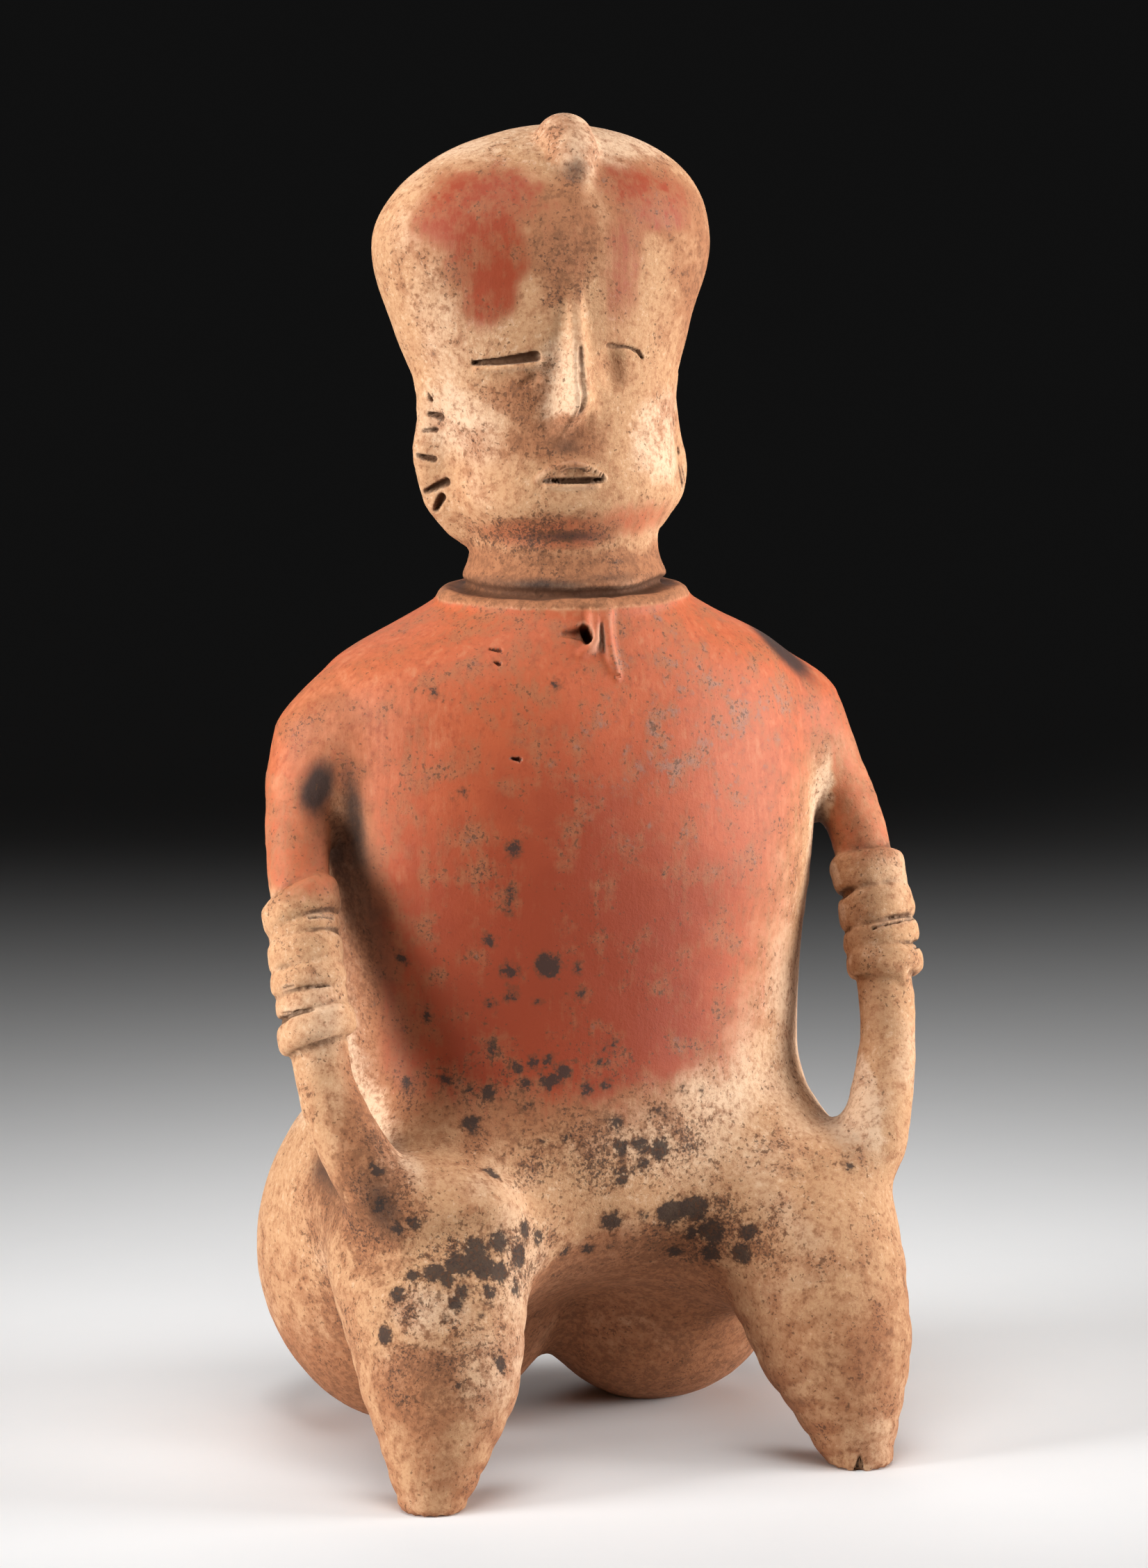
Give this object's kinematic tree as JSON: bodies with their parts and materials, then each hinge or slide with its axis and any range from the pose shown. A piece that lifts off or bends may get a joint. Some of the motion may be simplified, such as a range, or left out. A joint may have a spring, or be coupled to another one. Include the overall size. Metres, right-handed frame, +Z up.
{
  "type": "nayarit figure",
  "caption": "Seated hollow clay figure with a tall flaring head, notched ears, slit eyes, banded arms resting on its hips, stub legs and a rounded seat.",
  "frame": {"origin": "on the floor, under the middle of the figure's box", "axes": "+Z up; the figure faces -Y and its own left side is +X"},
  "size_m": [0.2488, 0.1912, 0.48],
  "materials": {
    "slipped_earthenware": "buff earthenware with a burnished red slip on the body and brow, fire clouds and black mineral spots"
  },
  "bodies": {
    "root": {"figure": "slipped_earthenware"}
  },
  "joints": []
}
